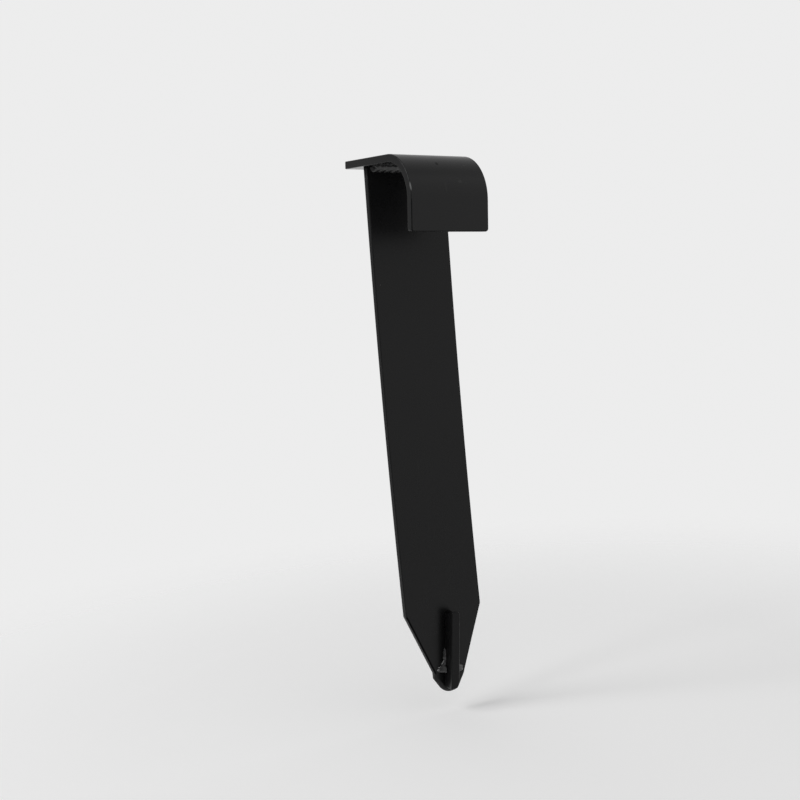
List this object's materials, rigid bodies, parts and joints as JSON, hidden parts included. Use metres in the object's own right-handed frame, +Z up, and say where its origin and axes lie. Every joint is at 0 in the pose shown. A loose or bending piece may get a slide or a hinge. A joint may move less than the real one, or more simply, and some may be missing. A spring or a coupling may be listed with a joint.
{
  "type": "drip tube stake",
  "caption": "Flat steel ground stake with a hooked cap that holds a drip tube or garden hose down, a tapered ground nose and a welded fin at its tip.",
  "frame": {"origin": "lowest point of the nose, on the blade's centreline and mid-plane", "axes": "+Z up along the blade to the striking face, -Y the side that the hook's flap faces, +X along the strip's width, to the right when the flap is seen from the front"},
  "size_m": [0.0225, 0.0317, 0.1294],
  "materials": {
    "blade_coat": "satin black powder coat",
    "cap_coat": "satin black powder coat",
    "fin_coat": "satin black powder coat",
    "weld_coat": "glossier black powder coat over weld metal"
  },
  "bodies": {
    "root": {"blade": "blade_coat", "hook_cap": "cap_coat", "tip_fin": "fin_coat", "cap_weld_front": "weld_coat", "cap_weld_rear": "weld_coat", "fin_weld_left": "weld_coat", "fin_weld_right": "weld_coat"}
  },
  "joints": []
}
